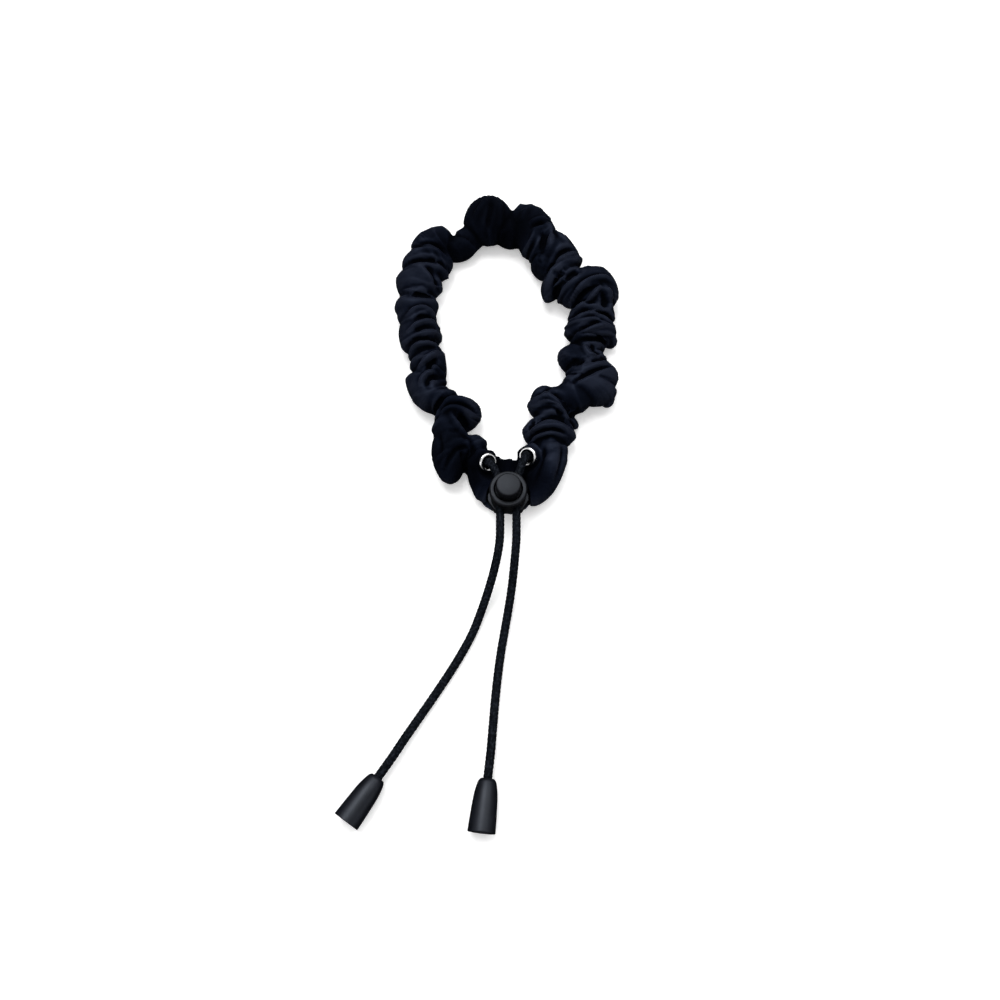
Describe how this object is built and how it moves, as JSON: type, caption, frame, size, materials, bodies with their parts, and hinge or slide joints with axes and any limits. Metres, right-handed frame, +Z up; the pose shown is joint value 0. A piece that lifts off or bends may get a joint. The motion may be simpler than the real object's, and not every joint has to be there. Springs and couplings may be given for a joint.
{
  "type": "drawcord wrist loop",
  "caption": "Ruched fabric wrist loop with a drawcord, a push-button cord lock and two bell-shaped cord ends.",
  "frame": {"origin": "on the surface the loop lies on, under the middle of the loop and its lock, without the two free cords", "axes": "+Z up out of the loop's plane, +Y away from the lock towards the far end of the loop, +X to the right with the button facing up"},
  "size_m": [0.0921, 0.2308, 0.0194],
  "materials": {
    "sleeve_fabric": "black woven fabric with a slight blue satin sheen",
    "cord_braid": "matt black round braid",
    "eyelet_metal": "polished bright",
    "lock_plastic": "satin moulded",
    "bell_plastic": "satin moulded",
    "spring_steel": "drawn wire"
  },
  "bodies": {
    "loop": {"sleeve": "sleeve_fabric", "left_eyelet": "eyelet_metal", "right_eyelet": "eyelet_metal", "left_eyelet_washer": "eyelet_metal", "right_eyelet_washer": "eyelet_metal", "drawcord_in_sleeve": "cord_braid", "drawcord_left": "cord_braid", "drawcord_right": "cord_braid", "left_knot": "cord_braid", "right_knot": "cord_braid"},
    "cord_lock": {"lock_body": "lock_plastic", "lock_spring": "spring_steel"},
    "lock_button": {"lock_plunger": "lock_plastic"},
    "left_cord_end": {"left_bell": "bell_plastic"},
    "right_cord_end": {"right_bell": "bell_plastic"}
  },
  "joints": [
    {"name": "lock_slide", "type": "slide", "parent": "loop", "child": "cord_lock", "axis": [0, -1, 0], "range_m": [0, 0.01]},
    {"name": "button_press", "type": "slide", "parent": "cord_lock", "child": "lock_button", "axis": [0, 0, -1], "range_m": [0, 0.0019], "stiffness_N_per_m": 1500, "springref_m": -0.0013, "deforming": ["lock_spring"]},
    {"name": "left_bell_slide", "type": "slide", "parent": "loop", "child": "left_cord_end", "axis": [0.5693, 0.8221, 0], "range_m": [0, 0.01]},
    {"name": "right_bell_slide", "type": "slide", "parent": "loop", "child": "right_cord_end", "axis": [0.1149, 0.9934, 0], "range_m": [0, 0.01]}
  ]
}
